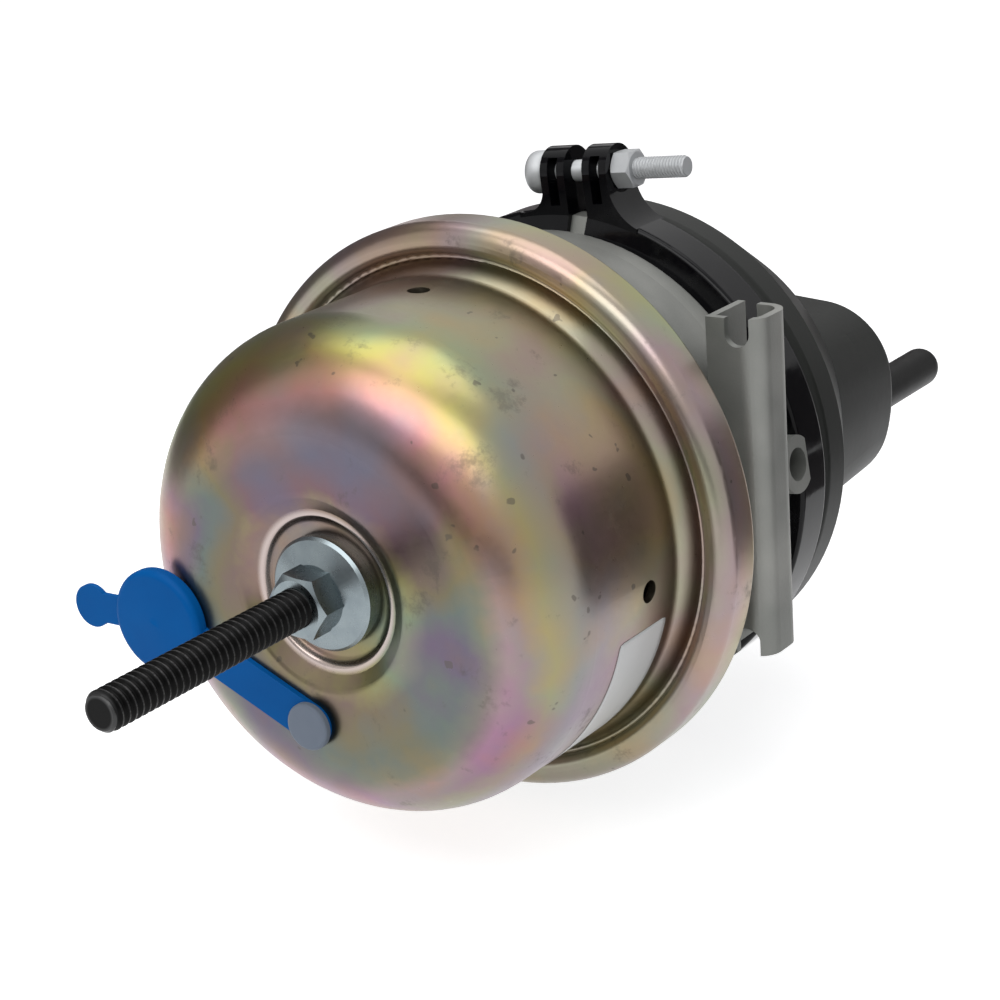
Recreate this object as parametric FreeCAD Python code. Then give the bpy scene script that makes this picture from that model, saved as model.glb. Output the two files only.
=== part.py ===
"""Air brake chamber: a service chamber and a spring parking chamber on one axis.

The axis is X and +X is the way the push rod leaves. The origin is the centre
of the mounting face. Lengths are in millimetres. The part is drawn as the
photograph shows it, with the power spring caged by the release bolt.
"""

import os
from math import acos, asin, atan2, cos, degrees, pi, sin, sqrt, tan

import FreeCAD
import Part

V = FreeCAD.Vector
X_AXIS = V(1, 0, 0)
ORIGIN = V(0, 0, 0)

# Driving dimensions: what the chamber is bought by
STROKE = 57.0               # travel of the push rod and of the parking piston
STUD_SPACING = 120.65       # between the two mounting studs
STUD_D = 16.0               # M16 studs
ROD_D = 18.0                # push rod
CHAMBER_R = 93.0            # outside of the two flanges that the band clamps
SPRING_R = 106.0            # outside of the crimped skirt of the spring housing
BOLT_D = 14.0               # release bolt, M14
BOLT_OUT = 106.0            # release bolt that stands out of its nut while caged
CLAMP_BOLT_D = 8.0          # M8 band bolts
PORT_D = 12.0               # M12 air ports

# Clearances
SLIDE_GAP = 0.05            # running gap on each side of a shaft
SEAT_GAP = 0.05             # gap under a face that turns on another
FREE_GAP = 0.5              # loose gap beside a moving piece

# Sheet and wall thicknesses
SHEET = 3.5                 # service housing
DOME_SHEET = 3.0            # spring housing
BAND_SHEET = 2.4            # clamp band
RUBBER = 3.0                # both diaphragms

# Places along the axis, from the mounting face back to the dome
X_FACE = 0.0
X_FLANGE = -111.5           # face of the service housing that holds the diaphragm
X_WEB = -144.0              # service side of the wall in the flange case
WEB = 8.0
X_RIM = -185.0              # rim of the flange case inside the skirt
RIM = 4.0
X_DOME = -284.0             # outside of the dome

# Service housing
PED_PAST = 11.2             # raised mounting pad beyond the middle of each stud
PED_R = STUD_SPACING / 2 + PED_PAST
PED_HALF = 38.0             # half its height across the studs
PED_TAPER = 3.0             # how far its foot stands out
PED_INNER = 1.5             # rounding inside its rim
PED_EDGE = PED_INNER + SHEET
PED_CORNER = 31.0           # rounding where its flat sides meet its round ends
CONE_FOOT_R = 70.0          # small end of the cone
X_CONE_FOOT = -44.0
X_FLOOR = -38.0
BULGE_R = 92.2              # the ring just behind the band
X_BULGE = -85.5             # edge where the ring ends and the cone starts
GROOVE_R = 84.2             # bottom of the groove that the band hooks into
FLANK_R = 86.5              # inner end of the band's sloping sides
FLANK_OUT = 2.2             # how far those sides slope outwards
MOUTH_R = 27.0              # hole in the mounting face

# Flange case
FLANGE = 7.0                # thickness of the case's clamped flange
NECK_R = 90.0
X_NECK = -140.0             # edge on the outside of the case
CASE_WALL = 7.0
BUSH_R = 21.0

# Spring housing
DOME_R = 88.5
DOME_ROUND = 33.0
DISH_R = 33.0               # rim of the dish round the release bolt
DISH_DEEP = 6.5
X_FOOT = -192.5             # ridge at the foot of the dome's wall
FOOT_R = 93.0
X_BEAD = -196.5             # crest of the rolled bead
BEAD = 10.5                 # its width across the axis
VENT_D = 8.0
X_VENT = -219.0

# Parking piston
PLATE_R = 79.0
PLATE = 5.0
X_PLATE = -238.0            # spring side of the pressure plate while caged
TUBE_R = 16.0
TUBE_BORE = 12.5
ADAPTER_R = 38.0
ADAPTER = 7.0

# Clamp band
EAR_ANGLE = 91.5            # the ears' place round the axis, from -Y over the top
EAR_LEAN = 8.5              # degrees that the ears and their bolt lean
EAR_W = 19.0
EAR_GAP = 8.0               # between the two ears
EAR_DEEP = 10.5             # along the bolt
EAR_PLATE = 3.2
EAR_FOOT = 11.0             # how far the ear's foot runs out along the band
EAR_RISE = 13.4             # from the band's back to the middle of its bolt
BAND_BOLT_R = CHAMBER_R + BAND_SHEET + EAR_RISE

# Stowage pocket
POCKET_TURN = 4.8           # degrees above -Y
POCKET_IN = 84.0            # its floor and its outer face, from the axis
POCKET_OUT = 102.0
X_POCKET = -163.5
POCKET_W = 23.0
POCKET_WALL = 2.8
POCKET_LOW = -50.5
POCKET_HIGH = 72.5
POCKET_ROUND = 0.44 * (POCKET_OUT - POCKET_IN)
NOTCH_W = 9.0
NOTCH_DEEP = 10.0
POCKET_NOTCH = 4.5          # from the outer face to the notch

# Smaller pieces
FIT = 0.05                  # clearance between curved faces that seat on one another
PARK_FREE = 6.0             # travel of the parking piston before it meets the diaphragm
PUSH_R = 56.0
ROD_OUT = 15.0              # push rod beyond the mounting face at rest
LIP = 9.0                   # how far the skirt is crimped inwards
STUD_OUT = 53.0
STUD_HEAD = 5.0
STUD_HEAD_L = 30.0
STUD_NECK = 0.3             # the shank is this much thicker where it passes the pad
DRAIN_D = 8.0
DRAIN_ANGLES = (-60.0, -120.0)
VENT_ANGLES = (0.0, 93.5, 180.0)
HUB_R = 28.0                # boss of the pressure plate
FLANGE_R = 24.0             # flange of the tube inside the diaphragm
RETAINER_R = 34.0
TEE_L = 23.0                # cross head of the release bolt
TEE_W = 10.0
TEE_DEEP = 8.0
WASHER = 2.5
NUT_FLANGE = 3.3
NUT_FLANGE_R = 20.2
RELEASE_AF = 21.0
RELEASE_NUT_L = 13.0
HUB_OUT = 4.0               # hub of the flange case beyond the web, both ways
X_HUB = X_WEB - WEB - 12.0
CLIP = 1.5
X_CLIP = X_WEB + 1.0
CLIP_R = BUSH_R + 1.5
RING_R = 1.75
RING_PLACES = (X_HUB + 6.0, X_CLIP - 5.0)
SERVICE_WIRE = 4.5
SERVICE_COIL_R0 = 38.0       # coils, from the plate to the mouth
SERVICE_COIL_R1 = 29.0
PARK_WIRE = 4.0
PARK_COIL_R = 24.0
POWER_WIRE = 12.0
POWER_COIL_R = 46.0          # the power spring's small end
BOOT_L = 34.0
BOOT_RING = 4.0
BOOT_RING_R = 32.5
HEAD_R = 8.0                # heads of the band bolts
HEAD_L = 9.0
CLAMP_AF = 13.0
BAND_NUT_L = 8.0
BAND_BOLT_OUT = 43.5        # band bolt beyond the middle of the gap
BOSS_R = 10.5
PORT_DEEP = 13.0
PORTS = (                   # angle, place along the axis, distance of the face
    (12.0, X_WEB + 9.8, 100.0),
    (150.0, X_WEB - 22.0, 104.0),
)
POCKET_GAP = 6.0

# Dust plug
BUTTON_PIN_R = 2.5
TAB_OUT = 14.0              # middle of the tab's round end beyond the disc
TAB_R = 8.0
TAB_W = 11.0
TAB_TURN = -23.5            # degrees from the strap's line
BUTTON_Y = 3.5
BUTTON_Z = -48.0
PLUG_Y = 69.0
PLUG_Z = -26.0
PLUG_R = 19.4
STRAP_W = 15.0
STRAP = 1.9
BUTTON_R = 8.5


def outline(points):
    """Closed wire in the X-R plane; a point's third value rounds its corner."""
    pts = [(p[0], p[1], p[2] if len(p) > 2 else 0.0) for p in points]
    edges = []
    last = None
    first = None
    count = len(pts)
    for i, (x, r, f) in enumerate(pts):
        here = V(x, r, 0)
        if f > 0:
            before = V(pts[i - 1][0], pts[i - 1][1], 0) - here
            after = V(pts[(i + 1) % count][0], pts[(i + 1) % count][1], 0) - here
            before.normalize()
            after.normalize()
            half = acos(max(-1.0, min(1.0, before.dot(after)))) / 2
            back = f / tan(half)
            start = here + before * back
            end = here + after * back
            middle_dir = before + after
            middle_dir.normalize()
            middle = here + middle_dir * (f / sin(half) - f)
        else:
            start = end = here
        if last is not None and (start - last).Length > 1e-6:
            edges.append(Part.makeLine(last, start))
        if first is None:
            first = start
        if f > 0:
            edges.append(Part.Arc(start, middle, end).toShape())
        last = end
    if (first - last).Length > 1e-6:
        edges.append(Part.makeLine(last, first))
    return Part.Wire(edges)


def turned(points):
    """Solid of revolution about the X axis from a list of (x, r, rounding)."""
    return Part.Face(outline(points)).revolve(ORIGIN, X_AXIS, 360)


def rod(x0, x1, r, y=0.0, z=0.0):
    return Part.makeCylinder(r, x1 - x0, V(x0, y, z), X_AXIS)


def ring(x0, x1, r_in, r_out):
    return rod(x0, x1, r_out).cut(rod(x0, x1, r_in))


def spin(shape, angle):
    """Copy turned about the axis; the angle runs from -Y over the top."""
    copy = shape.copy()
    copy.rotate(ORIGIN, X_AXIS, -angle)
    return copy


def slot_prism(x0, x1, length, width):
    """Round-ended bar along X, its long way across Z."""
    half = length / 2 - width / 2
    body = Part.makeBox(x1 - x0, width, 2 * half, V(x0, -width / 2, -half))
    for z in (-half, half):
        body = body.fuse(rod(x0, x1, width / 2, 0, z))
    return body.removeSplitter()


def pad_prism(x0, x1, r, half, grow, corner):
    """The mounting pad: a disc with flat top and bottom, wider at its foot."""
    sections = []
    for x, extra in ((x0, grow), (x1, 0.0)):
        big = r + extra
        z = half + extra - corner
        y = sqrt((big - corner) ** 2 - z * z)
        k = big / (big - corner)
        wire = Part.Wire([
            Part.makeLine(V(x, -y, half + extra), V(x, y, half + extra)),
            corner_arc(x, y, z, k, corner, 1, 1),
            Part.Arc(V(x, y * k, z * k), V(x, big, 0), V(x, y * k, -z * k)).toShape(),
            corner_arc(x, y, z, k, corner, 1, -1),
            Part.makeLine(V(x, y, -half - extra), V(x, -y, -half - extra)),
            corner_arc(x, y, z, k, corner, -1, -1),
            Part.Arc(V(x, -y * k, -z * k), V(x, -big, 0), V(x, -y * k, z * k)).toShape(),
            corner_arc(x, y, z, k, corner, -1, 1),
        ])
        sections.append(wire)
    return Part.makeLoft(sections, True, True)


def corner_arc(x, y, z, k, corner, side, level):
    """Arc from the flat to the round end, about the point (y, z)."""
    a = pi / 2
    b = atan2(z, y)
    mid = (a + b) / 2
    ends = [(y + corner * cos(t), z + corner * sin(t)) for t in (a, mid, b)]
    if side * level < 0:
        ends.reverse()
    return Part.Arc(*[V(x, side * p, level * q) for p, q in ends]).toShape()


def coil(x0, x1, r0, r1, wire_r, turns, sides=8, steps=20):
    """Spring wire from x0 to x1, its radius going from r0 to r1."""
    wires = []
    total = int(turns * steps)
    for i in range(total + 1):
        t = i / total
        a = 2 * pi * turns * t
        r = r0 + (r1 - r0) * t
        x = x0 + (x1 - x0) * t
        corners = []
        for k in range(sides):
            b = 2 * pi * k / sides
            rr = r + wire_r * cos(b)
            corners.append(V(x + wire_r * sin(b), rr * cos(a), rr * sin(a)))
        wires.append(Part.makePolygon(corners + [corners[0]]))
    return Part.makeLoft(wires, True, True)


# Places worked out from the sizes above

X_BACK = X_FLANGE - RUBBER                      # clamped face of the flange case
X_BAND = (X_BACK - FLANGE + X_FLANGE + SHEET) / 2
X_SKIRT = X_RIM + RIM                           # back of the rim, where the skirt is crimped
RIM_R = SPRING_R - DOME_SHEET
X_DISH = X_DOME + DISH_DEEP                     # floor of the dish, outside
X_RUB = X_RIM - RUBBER                          # spring side of the parking diaphragm's rim
X_TUBE = X_PLATE + PLATE                        # where the tube meets the pressure plate
X_ADAPTER = X_BACK - RUBBER - PARK_FREE         # service side of the adapter plate
X_PUSH = X_BACK                                 # diaphragm side of the push plate


# Service housing, pressed steel

def service_housing():
    flank = X_FLANGE + SHEET
    outside = turned([
        (X_FLANGE, 0),
        (X_FLANGE, CHAMBER_R),
        (flank, CHAMBER_R),
        (flank + 3.0, GROOVE_R, 1.2),
        (flank + 6.0, GROOVE_R, 1.2),
        (flank + 9.0, BULGE_R, 4.0),
        (X_BULGE, BULGE_R, 1.0),
        (X_CONE_FOOT, CONE_FOOT_R, 8.0),
        (X_FLOOR, CONE_FOOT_R - 12.0),
        (X_FLOOR, 0),
    ])
    inside = turned([
        (X_FLANGE - 1, 0),
        (X_FLANGE - 1, GROOVE_R - SHEET),
        (flank + 6.0 + SHEET, GROOVE_R - SHEET, 3.0),
        (flank + 9.0 + SHEET, BULGE_R - SHEET, 3.0),
        (X_BULGE - 1.0, BULGE_R - SHEET, 2.0),
        (X_CONE_FOOT - 1.8, CONE_FOOT_R - SHEET, 6.0),
        (X_FLOOR - SHEET, CONE_FOOT_R - SHEET - 12.0),
        (X_FLOOR - SHEET, 0),
    ])
    foot = X_CONE_FOOT - 24.0
    pad = pad_prism(foot, X_FACE, PED_R, PED_HALF, PED_TAPER, PED_CORNER)
    pad = pad.makeFillet(PED_EDGE, edges_at(pad, X_FACE))
    body = outside.fuse(pad).cut(inside).cut(pad_hollow())
    body = body.cut(rod(X_FACE - 10, X_FACE + 10, MOUTH_R))
    for side in (-1, 1):
        hole = rod(X_FACE - SHEET, X_FACE + 10, STUD_D / 2 + STUD_NECK, side * STUD_SPACING / 2)
        body = body.cut(hole)
    drain = Part.makeCylinder(DRAIN_D / 2, 60, V(X_CONE_FOOT - 24, -50, 0), V(0, -1, 0))
    for angle in DRAIN_ANGLES:
        body = body.cut(spin(drain, angle))
    return body.removeSplitter()


def pad_hollow():
    """Room inside the mounting pad."""
    foot = X_CONE_FOOT - 25.0
    under = X_FACE - SHEET
    room = pad_prism(foot, under, PED_R - SHEET, PED_HALF - SHEET, PED_TAPER, PED_CORNER - SHEET)
    return room.makeFillet(PED_INNER, edges_at(room, under))


def edges_at(shape, x):
    return [e for e in shape.Edges if abs(e.BoundBox.XMin - x) < 0.01 and e.BoundBox.XLength < 0.01]


def stud(side):
    y = side * STUD_SPACING / 2
    r = STUD_D / 2
    under = X_FACE - SHEET
    head = slot_prism(under - STUD_HEAD, under, STUD_HEAD_L, STUD_D + 2)
    head.translate(V(0, y, 0))
    shank = turned([
        (under, 0),
        (under, r + STUD_NECK),
        (X_FACE, r + STUD_NECK),
        (X_FACE, r),
        (STUD_OUT, r, r - 0.2),
        (STUD_OUT, 0),
    ])
    shank.translate(V(0, y, 0))
    return head.common(pad_hollow()).fuse(shank).removeSplitter()


# Flange case, cast aluminium

def flange_case():
    front = X_BACK - FLANGE
    outside = turned([
        (X_BACK, 0),
        (X_BACK, CHAMBER_R),
        (front, CHAMBER_R),
        (front - 2.35, 86.0),
        (front - 6.0, 86.0, 1.0),
        (front - 8.5, NECK_R - 0.8, 2.0),
        (X_NECK, NECK_R, 1.0),
        (X_SKIRT + DOME_SHEET + 1.0, SPRING_R - LIP - 0.5, 3.0),
        (X_SKIRT, SPRING_R - LIP - 0.5),
        (X_SKIRT, RIM_R),
        (X_RIM, RIM_R),
        (X_RIM, 0),
    ])
    service_side = turned([
        (X_BACK + 1, 0),
        (X_BACK + 1, GROOVE_R - SHEET),
        (X_WEB, GROOVE_R - SHEET - 5.0, 8.0),
        (X_WEB, 0),
    ])
    park_side = turned([
        (X_RIM - 1, 0),
        (X_RIM - 1, NECK_R - 3.0),
        (X_RIM + 14, NECK_R - 4.0, 6.0),
        (X_RIM + 21, POCKET_IN - 5.0, 5.0),
        (X_WEB - WEB, POCKET_IN - CASE_WALL, 6.0),
        (X_WEB - WEB, 0),
    ])
    bosses = [port_boss(*place).cut(rod(front - 5.4, X_FACE, 2 * SPRING_R)) for place in PORTS]
    outside = outside.fuse(bosses + [pocket_walls()])
    body = outside.cut(pocket_room()).cut(service_side).cut(park_side)
    body = body.fuse(rod(X_HUB, X_WEB + HUB_OUT, BUSH_R + 8))
    body = body.cut(rod(X_HUB - 1, X_WEB + 20, BUSH_R))
    body = body.cut(ring(X_CLIP, X_CLIP + CLIP, BUSH_R, CLIP_R))
    for place in PORTS:
        body = body.cut(port_hole(*place))
    return body.removeSplitter()


def port_boss(angle, x, out):
    boss = Part.makeCylinder(BOSS_R, out - GROOVE_R, V(x, -GROOVE_R, 0), V(0, -1, 0))
    return spin(boss, angle)


def port_hole(angle, x, out):
    hole = Part.makeCylinder(PORT_D / 2, PORT_DEEP, V(x, -out, 0), V(0, 1, 0))
    way = Part.makeCylinder(PORT_D / 4, PORT_DEEP + 16, V(x, -out, 0), V(0, 1, 0))
    return spin(hole.fuse(way), angle)


def pocket_walls():
    """Channel across the case that stows the release bolt."""
    deep = POCKET_OUT - POCKET_IN + POCKET_WALL
    tall = POCKET_HIGH - POCKET_LOW
    outer = Part.makeBox(POCKET_W, deep, tall, V(X_POCKET, -POCKET_OUT, POCKET_LOW))
    corners = [e for e in outer.Edges if e.BoundBox.ZLength > 50 and e.BoundBox.YMax < 1 - POCKET_OUT]
    outer = outer.makeFillet(POCKET_ROUND, corners)
    notches = [notch(POCKET_HIGH, -1), notch(POCKET_LOW, 1)]
    return spin(outer.cut(notches), POCKET_TURN)


def pocket_room():
    w = POCKET_WALL
    deep = POCKET_OUT - POCKET_IN - w
    tall = POCKET_HIGH - POCKET_LOW + 2
    room = Part.makeBox(POCKET_W - 2 * w, deep, tall, V(X_POCKET + w, w - POCKET_OUT, POCKET_LOW - 1))
    corners = [e for e in room.Edges if e.BoundBox.ZLength > 50 and e.BoundBox.YMax < w + 1 - POCKET_OUT]
    room = room.makeFillet(POCKET_ROUND - w, corners)
    gap = Part.makeBox(w + 2, POCKET_GAP, tall, V(X_POCKET + POCKET_W - w - 1, -POCKET_IN - POCKET_GAP, POCKET_LOW - 1))
    high = Part.makeBox(w + 2, POCKET_GAP, tall, V(X_POCKET + POCKET_W - w - 1, -POCKET_IN - POCKET_GAP, 45.0))
    return spin(room.fuse(high.common(gap)), POCKET_TURN)


def notch(z, way):
    """U-shaped notch in the face of the pocket towards the dome."""
    straight = NOTCH_DEEP - NOTCH_W / 2
    y = -POCKET_OUT + POCKET_NOTCH
    low = min(z + way * straight, z - way)
    box = Part.makeBox(12.0, NOTCH_W, straight + 1, V(X_POCKET - 2, y, low))
    end = Part.makeCylinder(NOTCH_W / 2, 12.0, V(X_POCKET - 2, y + NOTCH_W / 2, z + way * straight), X_AXIS)
    return box.fuse(end)


# Spring housing, pressed steel, crimped on the flange case

def spring_housing():
    t = DOME_SHEET
    outside = turned([
        (X_DISH, 0),
        (X_DISH, DISH_R - 9.0, 3.0),
        (X_DOME, DISH_R + 2.0, 5.0),
        (X_DOME, DOME_R, DOME_ROUND),
        (X_FOOT - 9.0, DOME_R, 6.0),
        (X_FOOT, FOOT_R, 1.2),
        (X_FOOT + 1.5, FOOT_R + 1.6, 1.0),
        (X_BEAD, SPRING_R - BEAD, 3.5),
        (X_BEAD, SPRING_R, 6.0),
        (X_SKIRT + t, SPRING_R, 2.0),
        (X_SKIRT + t, 0),
    ])
    inside = turned([
        (X_DISH + t, 0),
        (X_DISH + t, DISH_R - 9.0, 5.0),
        (X_DOME + t, DISH_R + 3.0, 3.0),
        (X_DOME + t, DOME_R - t, DOME_ROUND - t),
        (X_FOOT - 8.0, DOME_R - t, 6.0),
        (X_RUB, FOOT_R - 3.0, 1.5),
        (X_RUB, SPRING_R - BEAD + 3.5),
        (X_BEAD + t, SPRING_R - BEAD + 4.5, 1.0),
        (X_BEAD + t, RIM_R, 3.0),
        (X_SKIRT, RIM_R),
        (X_SKIRT, SPRING_R - LIP),
        (X_SKIRT + t + 1, SPRING_R - LIP),
        (X_SKIRT + t + 1, 0),
    ])
    body = outside.cut(inside)
    key = rod(X_DISH - 1, X_DISH + 10, BOLT_D / 2 + 1.0)
    key = key.fuse(slot_prism(X_DISH - 1, X_DISH + 10, TEE_L + 2, TEE_W + 1))
    body = body.cut(key)
    for angle in VENT_ANGLES:
        hole = Part.makeCylinder(VENT_D / 2, 20, V(X_VENT, -DOME_R + 10, 0), V(0, -1, 0))
        body = body.cut(spin(hole, angle))
    body = body.cut(rod(X_DOME - 1, X_DOME + 6, BUTTON_PIN_R + 0.1, BUTTON_Y, BUTTON_Z))
    return body.removeSplitter()


# Clamp band, two halves drawn together by two bolts

def band_half(side):
    """side 1 is the half on -Y, side -1 the half on +Y."""
    half = (X_FLANGE + SHEET - X_BACK + FLANGE) / 2
    t = BAND_SHEET
    top = CHAMBER_R + FIT
    profile = [
        (X_BAND - half - FLANK_OUT - FIT, FLANK_R),
        (X_BAND - half - FIT, top),
        (X_BAND + half + FIT, top),
        (X_BAND + half + FLANK_OUT + FIT, FLANK_R),
        (X_BAND + half + FLANK_OUT + t, FLANK_R),
        (X_BAND + half + t - 0.5, top + t, 2.0),
        (X_BAND - half - t + 0.5, top + t, 2.0),
        (X_BAND - half - FLANK_OUT - t, FLANK_R),
    ]
    open_angle = degrees(asin(EAR_GAP / 2 / top))
    face = Part.Face(outline(profile))
    face.rotate(ORIGIN, X_AXIS, 90 + open_angle)
    body = face.revolve(ORIGIN, X_AXIS, 180 - 2 * open_angle)
    for way in (1, -1):
        body = body.fuse(ear(way))
    body = body.removeSplitter()
    body = spin(body, EAR_ANGLE - 90)
    if side < 0:
        body.rotate(ORIGIN, X_AXIS, 180)
    return body


def ear(way):
    """Folded ear at the end of the half that ends at +Z (way 1) or -Z."""
    far = EAR_GAP / 2 + EAR_DEEP
    low = CHAMBER_R - BAND_SHEET
    y0 = -far if way > 0 else far - EAR_DEEP
    x0 = X_BAND - EAR_W / 2
    body = Part.makeBox(EAR_W, EAR_DEEP, BAND_BOLT_R - low, V(x0, y0, low))
    body = body.fuse(Part.makeCylinder(EAR_W / 2, EAR_DEEP, V(X_BAND, y0, BAND_BOLT_R), V(0, 1, 0)))
    floor = CHAMBER_R + 2 * BAND_SHEET
    slot = Part.makeBox(EAR_W - EAR_PLATE, EAR_DEEP - 2 * EAR_PLATE, BAND_BOLT_R + EAR_W / 2 - EAR_PLATE - floor,
                        V(x0 - 0.1, y0 + EAR_PLATE, floor))
    body = lean(body.cut(slot)).fuse(ear_foot(x0, far, -way))
    hole = Part.makeCylinder(CLAMP_BOLT_D / 2 + 0.3, 4 * far, V(X_BAND, -2 * far, BAND_BOLT_R), V(0, 1, 0))
    seat = Part.makeCylinder(HEAD_R + FREE_GAP, far, V(X_BAND, -way * far, BAND_BOLT_R), V(0, -way, 0))
    body = body.cut(lean(hole.fuse(seat))).cut(rod(x0 - 9, x0 + EAR_W + 9, CHAMBER_R + FIT + 0.4))
    if way < 0:
        body.rotate(ORIGIN, X_AXIS, 180)
    return body


def ear_foot(x0, far, side):
    """Sheet that sweeps from the ear's outer plate down on to the band."""
    back = CHAMBER_R + BAND_SHEET
    out = far + EAR_FOOT
    high = lean(Part.Vertex(x0, side * far, back + EAR_FOOT)).Point
    start = lean(Part.Vertex(x0, side * (far - EAR_PLATE), back + EAR_FOOT)).Point
    inner = lean(Part.Vertex(x0, side * (far - EAR_PLATE), CHAMBER_R - BAND_SHEET)).Point
    corner = lean(Part.Vertex(x0, side * far, back)).Point
    end = V(x0, side * out, sqrt(back ** 2 - out ** 2))
    under = V(x0, side * out, end.z - 2.0)
    middle = (high + end) * 0.22 + corner * 0.56
    sides = [Part.makeLine(start, high), Part.Arc(high, middle, end).toShape()]
    sides += [Part.makeLine(end, under), Part.makeLine(under, inner), Part.makeLine(inner, start)]
    return Part.Face(Part.Wire(sides)).extrude(V(EAR_W, 0, 0))


def lean(shape):
    """Copy leant about the line where the gap's middle meets the band's back."""
    copy = shape.copy()
    copy.rotate(V(0, 0, CHAMBER_R + BAND_SHEET), X_AXIS, -EAR_LEAN)
    return copy


def band_bolt(place):
    """Round-headed M8 bolt, its head on the half that lies on +Y."""
    reach = EAR_GAP / 2 + EAR_DEEP
    head = Part.makeCylinder(HEAD_R, HEAD_L, V(X_BAND, reach, BAND_BOLT_R), V(0, 1, 0))
    head = head.makeFillet(2.5, [e for e in head.Edges if e.BoundBox.YMin > reach + HEAD_L - 0.01])
    shank = Part.makeCylinder(CLAMP_BOLT_D / 2, reach + BAND_BOLT_OUT, V(X_BAND, reach, BAND_BOLT_R), V(0, -1, 0))
    end = [e for e in shank.Edges if e.BoundBox.YMax < -BAND_BOLT_OUT + 0.01]
    shank = shank.makeChamfer(1.0, end)
    return place_band(head.fuse(shank), place)


def band_nut(place):
    reach = EAR_GAP / 2 + EAR_DEEP
    nut = hexagon(CLAMP_AF, BAND_NUT_L, 0.8)
    nut = nut.cut(rod(-1, BAND_NUT_L + 1, CLAMP_BOLT_D / 2))
    nut.rotate(ORIGIN, V(0, 0, 1), -90)
    nut.translate(V(X_BAND, -reach, BAND_BOLT_R))
    return place_band(nut, place)


def place_band(shape, place):
    copy = spin(lean(shape), EAR_ANGLE - 90)
    if place == "lower":
        copy.rotate(ORIGIN, X_AXIS, 180)
    return copy


def hexagon(flats, length, chamfer):
    """Hexagonal bar from x = 0, both ends turned off at the corners."""
    r = flats / 2 / cos(pi / 6)
    corners = [V(0, r * cos(pi / 3 * i), r * sin(pi / 3 * i)) for i in range(6)]
    bar = Part.Face(Part.makePolygon(corners + [corners[0]])).extrude(V(length, 0, 0))
    cone = turned([
        (0, 0),
        (0, r - 1.8 * chamfer),
        (chamfer, r + 0.01),
        (length - chamfer, r + 0.01),
        (length, r - 1.8 * chamfer),
        (length, 0),
    ])
    return bar.common(cone)


# Diaphragms

def parking_diaphragm():
    t = RUBBER
    wall = DOME_R - DOME_SHEET - 3.0
    return turned([
        (X_RIM, RIM_R - FIT),
        (X_RUB, RIM_R - FIT),
        (X_RUB, wall, 2.0),
        (X_TUBE, wall - 1.0, 8.0),
        (X_TUBE, FLANGE_R),
        (X_TUBE + t, FLANGE_R),
        (X_TUBE + t, wall - 1.0 - t, 5.0),
        (X_RIM, wall - t, 1.0),
    ])


def service_diaphragm():
    t = RUBBER
    mouth = GROOVE_R - SHEET - 1.0
    return turned([
        (X_FLANGE, CHAMBER_R - 0.5),
        (X_BACK, CHAMBER_R - 0.5),
        (X_BACK, mouth, 3.0),
        (X_BACK - 2 * t, mouth - 10.0, 4.0),
        (X_BACK - t, PUSH_R, 4.0),
        (X_BACK - t, 0),
        (X_BACK, 0),
        (X_BACK, PUSH_R + 2.0, 3.0),
        (X_BACK - t, mouth - 9.0, 3.0),
        (X_FLANGE, mouth - 2.0, 3.0),
    ])


# Parking piston and release bolt

def pressure_plate():
    t = PLATE
    body = turned([
        (X_PLATE, 0),
        (X_PLATE - 4.0, 0),
        (X_PLATE - 4.0, HUB_R, 1.5),
        (X_PLATE, HUB_R + 3.0, 2.0),
        (X_PLATE, PLATE_R - 3.0, 2.0),
        (X_PLATE - 5.0, PLATE_R - 3.0, 1.2),
        (X_PLATE - 5.0, PLATE_R, 1.2),
        (X_TUBE, PLATE_R - 1.0, 6.0),
        (X_TUBE, 0),
    ])
    key = rod(X_PLATE - 10, X_TUBE + 1, BOLT_D / 2 + 0.3)
    key = key.fuse(slot_prism(X_PLATE - 10, X_TUBE + 1, TEE_L + 1, TEE_W + 1))
    return body.cut(key).removeSplitter()


def adapter_rod():
    tube = ring(X_TUBE, X_ADAPTER - ADAPTER, TUBE_BORE, TUBE_R)
    return tube.fuse(ring(X_TUBE, X_TUBE + RUBBER, TUBE_BORE, FLANGE_R)).removeSplitter()


def diaphragm_retainer():
    x = X_TUBE + RUBBER
    return turned([
        (x, TUBE_R),
        (x, RETAINER_R, 1.0),
        (x + 4.0, RETAINER_R - 2.0, 1.0),
        (x + 4.0, TUBE_R),
    ])


def adapter_plate():
    x0 = X_ADAPTER - ADAPTER
    return turned([
        (x0 - 10.0, 0),
        (x0 - 10.0, TUBE_BORE, 1.0),
        (x0, TUBE_BORE),
        (x0, ADAPTER_R, 2.0),
        (X_ADAPTER, ADAPTER_R, 3.0),
        (X_ADAPTER, 0),
    ])


def release_bolt():
    front = X_DISH - WASHER - NUT_FLANGE
    tip = front - BOLT_OUT
    under = X_TUBE + SEAT_GAP
    shank = rod(tip, under, BOLT_D / 2)
    shank = shank.makeChamfer(1.6, edges_at(shank, tip))
    tee = Part.makeBox(TEE_DEEP, TEE_W, TEE_L, V(under, -TEE_W / 2, -TEE_L / 2))
    tee.rotate(ORIGIN, X_AXIS, 90)
    round_end = rod(under, under + TEE_DEEP, TEE_L / 2)
    return shank.fuse(tee.common(round_end)).removeSplitter()


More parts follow.
